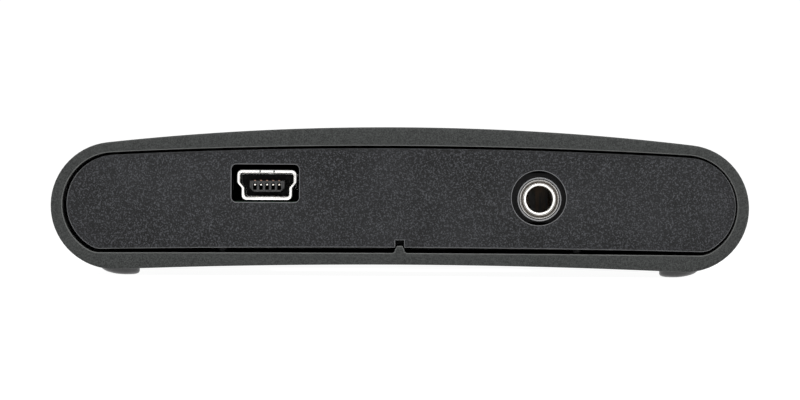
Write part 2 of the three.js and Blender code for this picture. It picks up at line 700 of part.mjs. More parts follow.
// A drum core between two flanges.
function powerInductor() {
  const { x, y, radius, waist, height, flangeHeight } = inductor;
  const low = board.top + standOff;
  return turnedZ([
    [0, low], [radius, low], [radius, low + flangeHeight], [waist, low + flangeHeight + 0.2],
    [waist, low + height - flangeHeight - 0.2], [radius, low + height - flangeHeight], [radius, low + height],
    [0, low + height],
  ], x, y, 20);
}

function clockCrystal() {
  const { x, y, halfX, halfY, corner, height } = crystal;
  return prismZ(roundedRectangle(x, y, halfX, halfY, corner, 5), board.top + standOff, board.top + height);
}

// ---- Assembly ----

const analyzer = new THREE.Group();
const insert = new THREE.Group(); // what slides into the sleeve
insert.position.set(insertShift.x, 0, insertShift.z);
analyzer.add(insert);

function place(parent, name, geometry, kind) {
  const mesh = new THREE.Mesh(geometry, materials[kind]);
  mesh.name = name;
  parent.add(mesh);
}

place(analyzer, "case_sleeve", caseSleeve(), "sleeve");
place(analyzer, "top_label", labelIn(crownSheet, topLabel), "label");
place(analyzer, "rating_label", labelIn(undersideSheet, ratingLabel), "label");
footSpots.forEach((spot) => place(analyzer, `foot_${spot[2]}`, rubberFoot(spot), "rubber"));
caseScrews.forEach((spot, i) => place(analyzer, `case_screw_${i + 1}`, countersunkScrew(spot), "screw"));

place(insert, "chassis_tray", chassisTray(), "tray");
place(insert, "rear_panel", rearPanel(), "panel");
place(insert, "front_panel", frontPanel(), "panel");
place(insert, "start_button", startButton(), "button");
place(insert, "switch_plunger", switchPlunger(), "connector");
place(insert, "button_switch", buttonSwitch(), "connector");
lamp.xs.forEach((x, i) => place(insert, `light_pipe_${i + 1}`, lightPipe(x), "lens"));
lamp.xs.forEach((x, i) => place(insert, `led_${i + 1}`, ledChip(x), "led"));

place(insert, "usb_shell", usbShell(), "steel");
place(insert, "usb_tongue", usbTongue(), "connector");
contact.xs.forEach((x, i) => place(insert, `usb_contact_${i + 1}`, usbContact(x), "gold"));
place(insert, "jack_barrel", jackBarrel(), "plated");
place(insert, "jack_housing", jackHousing(), "connector");
jackSprings.forEach((spring) => place(insert, `jack_spring_${spring.name}`, jackSpring(spring), "plated"));
place(insert, "probe_header", probeHeader(), "connector");

place(insert, "main_board", mainBoard(), "board");
boardScrews.forEach((spot, i) => place(insert, `board_screw_${i + 1}`, panScrew(spot), "screw"));
packages.forEach((spec) => {
  place(insert, spec.name, packageOf(spec), spec.name.startsWith("capacitor") ? "capacitor" : "chip");
});
place(insert, "power_inductor", powerInductor(), "chip");
place(insert, "clock_crystal", clockCrystal(), "steel");

export default analyzer;
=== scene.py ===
import functools
import math

import bmesh
import bpy
from mathutils import Matrix, Vector


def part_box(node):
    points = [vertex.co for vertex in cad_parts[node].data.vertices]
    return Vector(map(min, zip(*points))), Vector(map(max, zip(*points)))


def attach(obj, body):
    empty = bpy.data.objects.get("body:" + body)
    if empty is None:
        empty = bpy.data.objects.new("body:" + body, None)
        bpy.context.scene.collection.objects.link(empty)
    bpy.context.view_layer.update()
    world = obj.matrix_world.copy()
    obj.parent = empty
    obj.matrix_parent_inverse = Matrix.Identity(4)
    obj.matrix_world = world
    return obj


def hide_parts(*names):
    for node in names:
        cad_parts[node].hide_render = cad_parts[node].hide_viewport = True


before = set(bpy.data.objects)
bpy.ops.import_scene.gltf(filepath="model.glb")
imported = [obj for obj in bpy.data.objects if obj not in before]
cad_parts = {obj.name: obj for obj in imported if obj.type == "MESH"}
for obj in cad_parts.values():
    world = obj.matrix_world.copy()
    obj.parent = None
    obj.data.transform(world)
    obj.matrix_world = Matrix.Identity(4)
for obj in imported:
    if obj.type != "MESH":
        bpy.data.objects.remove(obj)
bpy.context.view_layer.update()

MM = 0.001

# ---- Named sizes: the case, as in the CAD source ----

AXIS_Z = 9.2  # height of the centres of the sleeve's round sides
SIDE_X = 37.7
SIDE_RADIUS = 8.4
CROWN_RADIUS = 343.0
UNDERSIDE_RADIUS = 900.0
CROWN_CENTRE_Z = AXIS_Z - math.sqrt((CROWN_RADIUS - SIDE_RADIUS) ** 2 - SIDE_X**2)
UNDERSIDE_CENTRE_Z = AXIS_Z - math.sqrt((UNDERSIDE_RADIUS + SIDE_RADIUS) ** 2 - SIDE_X**2)

OPENING = {"radius": 6.885, "centre_z": AXIS_Z + 0.165, "crown": 690.0, "fillet": 3.0}
FLOOR = {"z": AXIS_Z - 6.2, "arch": 0.12}  # the opening's floor, which rises by arch in the middle
RIB = {"base": 0.62, "top": 0.42, "height": 0.95, "fillet": 0.4, "corner": 0.15, "front_y": 59.8}
SHIFT = {"x": 0.17, "z": 0.07}  # how far everything inside the sleeve sits to one side, and high

PANEL = {"inset": 0.4, "arch": 0.37, "thickness": 2.0, "notch_half": 0.6, "notch_top": 4.75}
TAB = {"length": 6.0, "low_z": AXIS_Z - 3.8 + SHIFT["z"], "thickness": 1.2}
FOOT_TAPER = {"from": 0.9, "rate": 0.052}  # how far inside its centre a foot starts to taper, and how fast
USB_HOLE = {"half": (4.48, 2.5), "corner": 0.65, "offset": (-0.2, 0.22)}
JACK_HOLE = {"radius": 3.61, "offset": (-0.07, 0.16)}
WELL = {
    "half": (26.6, 3.74), "wall": 1.1, "corner": 0.6, "clearance": 1.2, "floor": 1.0, "lap": 0.4, "gap": 0.3,
}
BUTTON_HOLE_RADIUS = 3.4
LAMP_HOLE_RADIUS = 1.25
FLANGE = {"inner": 58.9, "outer": 59.8}  # the collar behind the front panel that keeps a button or a lens in
REAR_TABS = [(-31, 4), (31, 4)]  # centres and half widths
FRONT_TABS = [(-39.2, 1.1), (29, 4)]
SCREW = {"shank": 1.1, "head": 1.1}

TOP_LABEL = {"half": (33.0, 44.0), "corner": 5.0}
RATING_LABEL = {"half": (18.0, 12.0), "corner": 1.5}
LABEL = {"sink": 0.05, "thickness": 0.25, "play": 0.15}

USB = {
    "wide": 3.96, "narrow": 3.38, "high": 2.02, "corner": 0.65, "wall": 0.43,
    "shoulder": 0.32, "waist": -0.36,  # the heights between which its sides step in
}
TONGUE = {"half": 2.3, "low": -0.9, "high": 0.56, "bevel": 0.55, "length": 4.1}
CONTACT = {"thick": 0.26, "leg_from": 2.2, "leg_to": 1.9}  # the leg's places are counted from the rear end
JACK = {"bore": 1.75, "barrel": 2.94, "neck": 2.6, "step": 1.85}
PIN = {"half": 0.32, "taper": 0.7, "tip": 0.17, "pitch": 2.54, "columns": 20, "length": 6.1}

# ---- Named sizes: edges and steps of the finer shapes ----

SLEEVE_EDGE = 0.28  # rounding of the sleeve's ends, outside
OPENING_EDGE = 0.14  # and inside
PANEL_EDGE = 0.14
HOLE_EDGE = 0.12
STEPS = {"fillet": 8, "side": 26, "crown": 44, "floor": 12}
QUARTER = [(1 - math.sin(i * math.pi / 8), 1 - math.cos(i * math.pi / 8)) for i in range(5)]

# ---- Outlines: lists of (x, z) or (x, y) points, anticlockwise ----


def spread(start, end, steps):
    return [start + (end - start) * i / steps for i in range(steps + 1)]


def arc(x, y, radius, start, end, steps):
    return [(x + radius * math.cos(a), y + radius * math.sin(a)) for a in spread(start, end, steps)]


def circle(x, y, radius, segments=48):
    return arc(x, y, radius, 0, 2 * math.pi, segments)[:-1]


def mirrored(points, x=0.0):
    return [(2 * x - px, py) for px, py in reversed(points)]


def rounded_rectangle(x, y, half, corner, grow=0.0, steps=6):
    """A rectangle with round corners, drawn out by grow."""
    points, quarter = [], math.pi / 2
    for i, (side, rise) in enumerate([(1, 1), (-1, 1), (-1, -1), (1, -1)]):
        centre = (x + side * (half[0] - corner), y + rise * (half[1] - corner))
        points += arc(*centre, corner + grow, i * quarter, (i + 1) * quarter, steps)
    return points


def rib_points(grow):
    """The rib's section from left to right. grow draws the opening out and so the rib in."""
    fillet, corner = RIB["fillet"], RIB["corner"]
    floor_z = FLOOR["z"] + FLOOR["arch"]
    foot = arc(-RIB["base"] - fillet, floor_z + fillet, fillet + grow, -math.pi / 2, 0, 5)
    top_z = floor_z + RIB["height"] - corner
    half = foot + arc(corner - RIB["top"], top_z, corner - grow, math.pi, math.pi / 2, 4)
    return half + mirrored(half)


def flat_points(grow):
    """As many points as the rib's section, for where the rib has ended."""
    return [(x, FLOOR["z"] + FLOOR["arch"] - grow) for x, _ in rib_points(0)]


def notch_points(grow):
    """The rear panel's square notch, from left to right. It is centred on the rib, not on the panel."""
    low = FLOOR["z"] - grow + PANEL["arch"]
    left, right = (side * (PANEL["notch_half"] - PANEL["inset"] - grow) - SHIFT["x"] for side in (-1, 1))
    top = PANEL["notch_top"] - PANEL["inset"] - grow
    return [(left, low), (left, top), (right, top), (right, low)]


def plain_points(grow):
    """The middle of the front panel's floor, which has no notch but as many points."""
    return [(x, FLOOR["z"] - grow + PANEL["arch"]) for x in (-0.9, -0.3, 0.3, 0.9)]


def floor_corner():
    """How far the centre of the floor's corner lies outside and below the centre of the round side."""
    drop = OPENING["centre_z"] - FLOOR["z"] - OPENING["fillet"]
    return math.sqrt((OPENING["radius"] - OPENING["fillet"]) ** 2 - drop**2), drop


def floor_points(grow, middle, arch):
    """The opening's floor from left to right, with a rib or a notch in its middle."""
    reach = SIDE_X + floor_corner()[0]
    left = spread(-reach, middle[0][0], STEPS["floor"])[1:-1]
    right = spread(middle[-1][0], reach, STEPS["floor"])[1:-1]
    left, right = (
        [(x, FLOOR["z"] - grow + arch * (1 - (x / reach) ** 2)) for x in xs] for xs in (left, right)
    )
    return left + middle + right


def opening_outline(grow, middle, arch=FLOOR["arch"]):
    """The opening through the sleeve, drawn out by grow."""
    radius, crown = OPENING["radius"] + grow, OPENING["crown"] + grow
    out, drop = floor_corner()
    corner_angle = -math.atan2(drop, out)
    crown_drop = math.sqrt((OPENING["crown"] - OPENING["radius"]) ** 2 - SIDE_X**2)
    crown_angle = math.atan2(crown_drop, SIDE_X)
    fillet, corner_x = OPENING["fillet"], SIDE_X + out
    corner = arc(corner_x, FLOOR["z"] + fillet, fillet + grow, -math.pi / 2, corner_angle, STEPS["fillet"])
    side = corner + arc(SIDE_X, OPENING["centre_z"], radius, corner_angle, crown_angle, STEPS["side"])[1:]
    top = arc(0, OPENING["centre_z"] - crown_drop, crown, crown_angle, math.pi - crown_angle, STEPS["crown"])
    return floor_points(grow, middle, arch) + side + top[1:-1] + mirrored(side)


def sleeve_outline(inset=0.0):
    """The sleeve's outside, drawn in by inset, with as many points as the opening."""
    crown_angle = math.atan2(AXIS_Z - CROWN_CENTRE_Z, SIDE_X)
    under_angle = math.atan2(AXIS_Z - UNDERSIDE_CENTRE_Z, SIDE_X)
    squeeze = UNDERSIDE_RADIUS * math.cos(under_angle) / (SIDE_X + floor_corner()[0])
    floor = [(x * squeeze, underside_z(x * squeeze, inset)) for x, _ in floor_points(0, rib_points(0), 0)]
    low = arc(SIDE_X, AXIS_Z, SIDE_RADIUS - inset, under_angle - math.pi, -math.pi / 3, STEPS["fillet"])
    side = low + arc(SIDE_X, AXIS_Z, SIDE_RADIUS - inset, -math.pi / 3, crown_angle, STEPS["side"])[1:]
    top = arc(0, CROWN_CENTRE_Z, CROWN_RADIUS - inset, crown_angle, math.pi - crown_angle, STEPS["crown"])
    return floor + side + top[1:-1] + mirrored(side)


def panel_outline(inset, middle_points):
    """An end panel, drawn in by inset."""
    grow = -PANEL["inset"] - inset
    points = opening_outline(grow, middle_points(grow), PANEL["arch"])
    return [(x + SHIFT["x"], z + SHIFT["z"]) for x, z in points]


def crown_z(x, depth=0.0):
    return CROWN_CENTRE_Z + math.sqrt((CROWN_RADIUS - depth) ** 2 - x**2)


def underside_z(x, height=0.0):
    return UNDERSIDE_CENTRE_Z + math.sqrt((UNDERSIDE_RADIUS + height) ** 2 - x**2)


def usb_outline(x, z, inset=0.0):
    """The mini-B receptacle's section, wide at the top and stepped in below."""
    high, corner = USB["high"] - inset, USB["corner"] - inset * 0.6
    wide, narrow = USB["wide"] - inset, USB["narrow"] - inset
    side = arc(x + narrow - corner, z - high + corner, corner, -math.pi / 2, 0, 6)
    side += [(x + narrow, z + USB["waist"] - 0.1), (x + narrow + 0.05, z + USB["waist"] + 0.06)]
    side += [(x + wide - 0.05, z + USB["shoulder"] - 0.06), (x + wide, z + USB["shoulder"] + 0.1)]
    side += arc(x + wide - corner, z + high - corner, corner, 0, math.pi / 2, 6)
    return side + mirrored(side, x)


# ---- Meshes: lists of corners and faces ----


def along_y(points, y):
    return [(x, y, z) for x, z in points]


def along_z(points, z):
    return [(x, y, z) for x, y in points]


def loft(rings, closed=False):
    """Corners and faces of a skin through rings of equally many points, capped or closed on itself."""
    count = len(rings[0])
    corners = [point for ring in rings for point in ring]
    pairs = list(zip(range(len(rings)), range(1, len(rings))))
    if closed:
        pairs.append((len(rings) - 1, 0))
    faces = []
    for a, b in pairs:
        for i in range(count):
            j = (i + 1) % count
            faces.append((a * count + i, a * count + j, b * count + j, b * count + i))
    if not closed:
        faces.append(tuple(range(count)))
        faces.append(tuple((len(rings) - 1) * count + i for i in range(count)))
    return corners, faces


def together(*parts):
    """Several lists of corners and faces as one."""
    corners, faces = [], []
    for part_corners, part_faces in parts:
        faces += [tuple(i + len(corners) for i in face) for face in part_faces]
        corners += part_corners
    return corners, faces


def slab(outline_of, start, end, edge=0.0, place=along_y):
    """A prism whose two ends are rounded by edge. outline_of(inset) gives its outline."""
    stations = [(edge * inset, start + edge * depth) for inset, depth in QUARTER]
    stations += [(edge * inset, end - edge * depth) for inset, depth in reversed(QUARTER)]
    if not edge:
        stations = [(0.0, start), (0.0, end)]
    return loft([place(outline_of(inset), at) for inset, at in stations])


def flared(outline_of, face, depth, edge=HOLE_EDGE, place=along_y):
    """A cutting tool that rounds the edge where it enters a face. depth is signed."""
    way = math.copysign(1, depth)
    stations = [(edge, face - way)] + [(edge * grow, face + way * edge * sink) for grow, sink in QUARTER]
    stations.append((0.0, face + depth))
    return loft([place(outline_of(grow), at) for grow, at in stations])


def turned(profile, x, y, place=along_y, segments=48, closed=False):
    """A turned piece from (radius, distance along the axis) pairs, capped or closed on itself."""
    return loft([place(circle(x, y, radius, segments), along) for radius, along in profile], closed)


def block(low, high, edge=0.0):
    """A box between two corners, with rounded edges all round where edge is given."""
    centre = [(a + b) / 2 for a, b in zip(low, high)]
    half = [abs(b - a) / 2 for a, b in zip(low, high)]
    corner = max(edge, 1e-4)
    return slab(
        lambda inset: rounded_rectangle(centre[0], centre[2], (half[0], half[2]), corner, -inset * 0.99, 3),
        min(low[1], high[1]), max(low[1], high[1]), edge,
    )


def sheet(size, margin, surface, outer, inner):
    """A sheet with round corners that follows a curved face, between two depths from it."""
    half_x, half_y = (half + margin for half in size["half"])
    corner = size["corner"] + margin
    turn = [(half_x - corner + corner * math.sin(a), half_y - corner + corner * math.cos(a))
            for a in spread(0, math.pi / 2, 8)]
    flat = [(x, half_y) for x in spread(corner - half_x, half_x - corner, 24)][1:-1]
    rings = []
    for x, reach in [(-x, y) for x, y in reversed(turn)] + flat + turn:
        section = ((-reach, outer), (reach, outer), (reach, inner), (-reach, inner))
        rings.append([(x, y, surface(x, depth)) for y, depth in section])
    return loft(rings)


def new_object(name, part):
    corners, faces = part
    mesh = bpy.data.meshes.new(name)
    mesh.from_pydata([Vector(corner) * MM for corner in corners], [], faces)
    shaped = bmesh.new()
    shaped.from_mesh(mesh)
    bmesh.ops.remove_doubles(shaped, verts=shaped.verts, dist=1e-8)
    bmesh.ops.recalc_face_normals(shaped, faces=shaped.faces)
    shaped.to_mesh(mesh)
    shaped.free()
    made = bpy.data.objects.new(name, mesh)
    bpy.context.scene.collection.objects.link(made)
    return made


def settle(piece):
    """Applies a piece's modifiers."""
    graph = bpy.context.evaluated_depsgraph_get()
    mesh = bpy.data.meshes.new_from_object(piece.evaluated_get(graph))
    piece.modifiers.clear()
    piece.data = mesh


def carve(piece, *parts):
    """Cuts each part out of a piece."""
    for part in parts:
        tool = new_object("cutting_tool", part)
        modifier = piece.modifiers.new("cut", "BOOLEAN")
        modifier.operation = "DIFFERENCE"
        modifier.solver = "EXACT"
        modifier.object = tool
        settle(piece)
        bpy.data.objects.remove(tool)


def round_edges(piece, width):
    modifier = piece.modifiers.new("rounded edges", "BEVEL")
    modifier.width = width * MM
    modifier.segments = 2
    modifier.limit_method = "ANGLE"
    modifier.angle_limit = math.radians(30)
    modifier.use_clamp_overlap = True


def dress(piece, material, slot, *nodes, body="case", sharp=38):
    """Gives a piece its material, smooth shading and its body, and hides the CAD nodes that it stands for."""
    mesh = piece.data
    mesh.materials.clear()
    mesh.materials.append(material)
    mesh.polygons.foreach_set("use_smooth", [True] * len(mesh.polygons))
    mesh.set_sharp_from_angle(angle=math.radians(sharp))
    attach(piece, body)
    if nodes:
        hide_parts(*nodes)
    return piece


def box_of(node):
    low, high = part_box(node)
    return low / MM, high / MM


def centre_of(node):
    low, high = box_of(node)
    return (low + high) / 2


def half_width(node):
    low, high = box_of(node)
    return (high.x - low.x) / 2


# ---- Materials ----


def add_node(tree, kind, inputs=None, **attributes):
    """A node with its settings, and its inputs set or linked."""
    made = tree.nodes.new(kind)
    for key, value in attributes.items():
        setattr(made, key, value)
    for key, value in (inputs or {}).items():
        if isinstance(value, bpy.types.NodeSocket):
            tree.links.new(value, made.inputs[key])
        else:
            made.inputs[key].default_value = value
    return made


class Look:
    """A material while it is made: its shader and shorthand for the nodes that drive it."""

    def __init__(self, name, color, roughness, metallic=0.0, **sockets):
        self.material = bpy.data.materials.new(name)
        self.material.use_nodes = True
        self.tree = self.material.node_tree
        self.shader = self.tree.nodes["Principled BSDF"]
        self.set("Base Color", (*color, 1))
        self.set("Roughness", roughness)
        self.set("Metallic", metallic)
        for socket, value in sockets.items():
            self.set(socket.replace("_", " "), value)
        self.place = self.node("ShaderNodeTexCoord").outputs["Object"]

    def set(self, socket, value):
        self.shader.inputs[socket].default_value = value

    def node(self, kind, inputs=None, **attributes):
        return add_node(self.tree, kind, inputs, **attributes)

    def drive(self, socket, value):
        self.tree.links.new(value, self.shader.inputs[socket])

    def stretched(self, x, y, z):
        """Object coordinates with each axis stretched."""
        return self.node("ShaderNodeMapping", {"Vector": self.place, "Scale": (x, y, z)}).outputs["Vector"]

    def noise(self, size, detail=3.0, place=None):
        """Noise whose grains measure about size millimetres, from 0 to 1."""
        inputs = {"Vector": place or self.place, "Scale": 1 / (size * MM), "Detail": detail}
        return self.node("ShaderNodeTexNoise", inputs).outputs["Fac"]

    def math(self, operation, a, b=0.0):
        return self.node("ShaderNodeMath", {0: a, 1: b}, operation=operation).outputs[0]

    def fit(self, value, low, high, to_low=0.0, to_high=1.0):
        """Maps low to high onto another range, without going past its ends."""
        inputs = {"Value": value, "From Min": low, "From Max": high, "To Min": to_low, "To Max": to_high}
        return self.node("ShaderNodeMapRange", inputs).outputs["Result"]

    def blend(self, share, one, other):
        """A colour between two: each is a colour or a socket."""
        one, other = ((*color, 1) if isinstance(color, tuple) else color for color in (one, other))
        return self.node("ShaderNodeMix", {0: share, 6: one, 7: other}, data_type="RGBA").outputs[2]

    def ramp(self, share, *stops):
        """A colour ramp from (position, colour) stops."""
        made = self.node("ShaderNodeValToRGB", {"Fac": share})
        elements = made.color_ramp.elements
        while len(elements) < len(stops):
            elements.new(0.5)
        for element, (position, color) in zip(elements, stops):
            element.position = position
            element.color = (*color, 1)
        return made.outputs["Color"]

    def vector(self, operation, one, other, output="Vector"):
        return self.node("ShaderNodeVectorMath", {0: one, 1: other}, operation=operation).outputs[output]

    def dot(self, one, other):
        return self.vector("DOT_PRODUCT", one, other, "Value")

    def facing(self):
        return self.node("ShaderNodeNewGeometry").outputs["Normal"]

    def rubbed(self):
        """Sharp edges rubbed lighter, unevenly: 0 away from edges, up to 1 on them."""
        bevel = self.node("ShaderNodeBevel", {"Radius": 0.12 * MM}, samples=6)
        edge = self.fit(self.dot(bevel.outputs["Normal"], self.facing()), 0.995, 0.8)
        return self.math("MULTIPLY", edge, self.fit(self.noise(1.3), 0.3, 0.6, 0.45, 1.0))

    def rim_highlight(self):
        """Painted highlight on edges that round off from an end face: 1 where they turn from facing along Y
        to across it.
        """
        along = self.math("ABSOLUTE", self.dot(self.facing(), (0, 1, 0)))
        turning = self.math("MULTIPLY", along, self.math("SUBTRACT", 1.0, along))
        unevenness = self.fit(self.noise(1.3), 0.3, 0.6, 0.7, 1.0)
        return self.math("MULTIPLY", self.fit(turning, 0.01, 0.12), unevenness)

    def panel_rim_highlight(self):
        """The same painted highlight, but fainter where the panel's top edge faces up into its groove:
        painted shade there.
        """
        high = self.fit(self.dot(self.place, (0, 0, 1)), 13 * MM, 15.5 * MM)
        upwards = self.fit(self.dot(self.facing(), (0, 0, 1)), 0.0, 0.4)
        groove = self.math("MULTIPLY", high, upwards)
        return self.math("MULTIPLY", self.rim_highlight(), self.fit(groove, 0, 1, 1, 0.25))

    def inner_rim_highlight(self):
        """The same painted highlight, but only where the edge faces the middle of the case."""
        inwards = self.fit(self.dot(self.outwards((0, 0, AXIS_Z * MM)), self.facing()), 0.0, -0.0004)
        return self.math("MULTIPLY", self.rim_highlight(), inwards)

    def outwards(self, centre):
        """The direction and distance in XZ from a centre."""
        return self.vector("MULTIPLY", self.vector("SUBTRACT", self.place, centre), (1, 0, 1))

    def bump(self, height, depth, strength=1.0, after=None):
        """Surface relief from a height of 0 to 1, depth millimetres deep."""
        inputs = {"Height": height, "Distance": depth * MM, "Strength": strength}
        if after is not None:
            inputs["Normal"] = after
        return self.node("ShaderNodeBump", inputs).outputs["Normal"]

    def surface(self, color, pattern, low, high, depth):
        """Drives the colour, the roughness from low to high by a pattern, and that pattern's relief."""
        self.drive("Base Color", color)
        self.drive("Roughness", self.fit(pattern, 0.3, 0.7, low, high))
        self.drive("Normal", self.bump(pattern, depth))
        return self.material


def grey(level):
    return (level, level, level)


def moulded(name, dark, light, grain, worn_and_highlight_color, roughness, depth, wear_and_highlight=Look.rubbed, coverage=(0.4, 0.62)):
    """Textured moulded plastic: a fine speckle, broad uneven patches, relief, and lighter edges, which are
    rubbed wear by default and a painted highlight along the rounded rims of the sleeve and the panels.
    """
    look = Look(name, dark, roughness, Specular_IOR_Level=0.25)
    coarse, fine = look.noise(grain, 1.0), look.noise(grain * 0.45, 3.0)
    grains = look.math("MULTIPLY", look.math("ADD", coarse, fine), 0.5)
    patches = look.noise(9.0, 3.0)
    speckle = look.blend(look.fit(grains, *coverage), dark, light)
    dulled = tuple(channel * 0.8 for channel in light)
    uneven = look.blend(look.fit(patches, 0.3, 0.7, 0.0, 0.18), speckle, dulled)
    look.drive("Base Color", look.blend(wear_and_highlight(look), uneven, worn_and_highlight_color))
    look.drive("Roughness", look.fit(fine, 0.3, 0.7, roughness - 0.08, roughness + 0.1))
    look.drive("Normal", look.bump(grains, depth, 1.0, look.bump(patches, 0.03, 0.3)))
    return look.material


# Dark and light grains, the grains' size, the colour of worn edges and of painted edge highlights, roughness,
# relief; the edge mask (rubbed wear by default, a painted rim highlight for the sleeve and the panels) and
# the speckle's coverage.
PLASTICS = {
    "sleeve_satin": (
        (0.006, 0.0068, 0.0065), (0.046, 0.049, 0.0475), 0.16, (0.125, 0.128, 0.125), 0.5, 0.012,
        Look.inner_rim_highlight,
    ),
    "panel_speckled": (
        (0.0005, 0.0006, 0.0008), (0.054, 0.056, 0.062), 0.21, (0.17, 0.172, 0.178), 0.6, 0.03,
        Look.panel_rim_highlight, (0.5, 0.62),
    ),
    "button_grey": ((0.09, 0.095, 0.1), (0.15, 0.155, 0.16), 0.3, (0.24, 0.24, 0.25), 0.45, 0.006),
    "connector_black": ((0.006, 0.006, 0.0065), (0.014, 0.014, 0.015), 0.2, (0.04, 0.04, 0.042), 0.5, 0.006),
    # Also used for the dark plugs on the USB shell's rim, which paint the shade of seam holes.
    "seat_black_and_hole_shade": (grey(0.002), grey(0.005), 0.2, grey(0.008), 0.7, 0.006),
    "tongue_grey": ((0.02, 0.02, 0.021), grey(0.05), 0.15, grey(0.16), 0.4, 0.004),
    "tray_charcoal": ((0.012, 0.0125, 0.013), (0.03, 0.031, 0.032), 0.4, grey(0.07), 0.6, 0.012),
    "chip_epoxy": ((0.01, 0.01, 0.0105), (0.028, 0.028, 0.029), 0.14, grey(0.06), 0.55, 0.008),
    "capacitor_ochre": ((0.42, 0.22, 0.035), (0.55, 0.3, 0.06), 0.3, (0.62, 0.4, 0.14), 0.4, 0.006),
}

# Bright and dull colours and roughness; the marks' size, their stretch along each axis, and relief.
METALS = {
    "shell_steel": ((0.92, 0.91, 0.89), (0.8, 0.79, 0.77), 0.2),
    "jack_nickel": ((0.93, 0.91, 0.87), (0.76, 0.72, 0.66), 0.16, 0.35),
    "contact_gold": ((0.95, 0.7, 0.32), (0.82, 0.56, 0.25), 0.22, 0.3),
    "contact_bright": ((0.95, 0.93, 0.88), (0.85, 0.76, 0.6), 0.3, 0.2),
    # The contacts' folded tips: a painted warm highlight.
    "contact_tip_warm_highlight": ((0.36, 0.2, 0.15), (0.2, 0.12, 0.09), 0.35, 0.2),
    "screw_black_zinc": ((0.16, 0.16, 0.165), (0.09, 0.09, 0.095), 0.32, 0.3, (1, 1, 1), 0.004),
}


def plain_metal(name, bright, dull, roughness, grain=0.5, stretch=(1, 0.2, 1), depth=0.002):
    """Bare or plated metal: slightly uneven tone and polish, with fine marks drawn out along one axis."""
    look = Look(name, bright, roughness, 1.0)
    marks = look.noise(grain, 4.0, look.stretched(*stretch))
    color = look.blend(look.fit(look.noise(1.6, 2.0), 0.35, 0.75), bright, dull)
    return look.surface(color, marks, roughness * 0.7, roughness * 1.5, depth)


@functools.cache
def stock(name):
    """A plastic or metal from the tables, made once."""
    if name in PLASTICS:
        return moulded(name, *PLASTICS[name])
    return plain_metal(name, *METALS[name])


def liner_material():
    """Aged brown plastic, streaked up and down."""
    look = Look("liner_brown", (0.3, 0.26, 0.22), 0.6)
    streaks = look.noise(0.5, 2.0, look.stretched(1, 1, 0.15))
    color = look.blend(look.fit(streaks, 0.4, 0.65), (0.08, 0.076, 0.07), (0.24, 0.17, 0.12))
    return look.surface(color, streaks, 0.45, 0.7, 0.01)


def rubber_material():
    """Smooth grey rubber with a soft shine, finely mottled, with a little dust in its texture."""
    look = Look("foot_rubber", grey(0.05), 0.4)
    mottle = look.noise(0.5, 4.0)
    dust = look.fit(look.noise(0.12, 2.0), 0.58, 0.75, 0.0, 0.3)
    base = look.blend(mottle, (0.035, 0.035, 0.036), (0.075, 0.075, 0.076))
    return look.surface(look.blend(dust, base, (0.16, 0.155, 0.15)), mottle, 0.3, 0.5, 0.02)


def barrel_material():
    """Nickel that is polished on the lip, darker brown in the groove behind it, and dull on the collar; near
    black on the bore's wall and in the outer groove, which is painted shade.
    """
    look = Look("barrel_nickel", (0.9, 0.88, 0.84), 0.2, 1.0)
    out = look.outwards(centre_of("jack_barrel") * MM)
    radius = look.vector("LENGTH", out, (0, 0, 0), "Value")
    wobble = look.math("MULTIPLY", look.noise(1.2, 3.0), 0.06 * MM)
    share = look.fit(look.math("ADD", radius, wobble), 1.7 * MM, 3.0 * MM)
    # The ramp's near-black stops on the bore's wall and in the outer groove are painted shade.
    color = look.ramp(
        share, (0.0, (0.03, 0.026, 0.022)), (0.06, (0.9, 0.89, 0.86)), (0.35, (0.95, 0.94, 0.91)),
        (0.4, (0.08, 0.066, 0.052)), (0.56, (0.08, 0.07, 0.06)), (0.6, (0.95, 0.93, 0.9)),
        (0.665, (0.9, 0.88, 0.85)), (0.705, grey(0.02)), (0.79, grey(0.03)),
        (0.84, (0.22, 0.22, 0.225)), (1.0, (0.28, 0.28, 0.285)),
    )
    marks = look.noise(0.3, 4.0, look.stretched(1, 0.2, 1))
    return look.surface(color, marks, 0.12, 0.32, 0.002)


def board_material():
    """Green solder mask over thin traces, which cross in two directions."""
    look = Look("board_green", (0.012, 0.08, 0.03), 0.35)
    rows = look.node("ShaderNodeTexBrick", {
        "Vector": look.place, "Scale": 1 / (1.6 * MM), "Mortar Size": 0.09,
        "Brick Width": 4.2, "Row Height": 0.55,
    })
    mottle = look.noise(2.5, 3.0)
    traces = look.math("MULTIPLY", rows.outputs["Fac"], look.fit(mottle, 0.4, 0.6))
    base = look.blend(mottle, (0.006, 0.05, 0.02), (0.012, 0.075, 0.03))
    look.drive("Base Color", look.blend(traces, base, (0.03, 0.16, 0.06)))
    look.drive("Roughness", look.fit(mottle, 0.3, 0.7, 0.28, 0.42))
    look.drive("Normal", look.bump(traces, 0.03))
    return look.material


def lens_material():
    """Clear acrylic with a faint milky cloud."""
    look = Look("lens_acrylic", (0.86, 0.9, 0.87), 0.12, IOR=1.49, Transmission_Weight=0.72)
    cloud = look.noise(0.8, 3.0)
    return look.surface(look.blend(cloud, (0.78, 0.82, 0.79), (0.92, 0.95, 0.93)), cloud, 0.08, 0.2, 0.004)


def led_material():
    """A phosphor-coated lamp, unlit."""
    look = Look("led_phosphor", (0.85, 0.78, 0.4), 0.45)
    grains = look.noise(0.15, 3.0)
    return look.surface(look.blend(grains, (0.86, 0.8, 0.5), (0.8, 0.68, 0.25)), grains, 0.35, 0.55, 0.01)


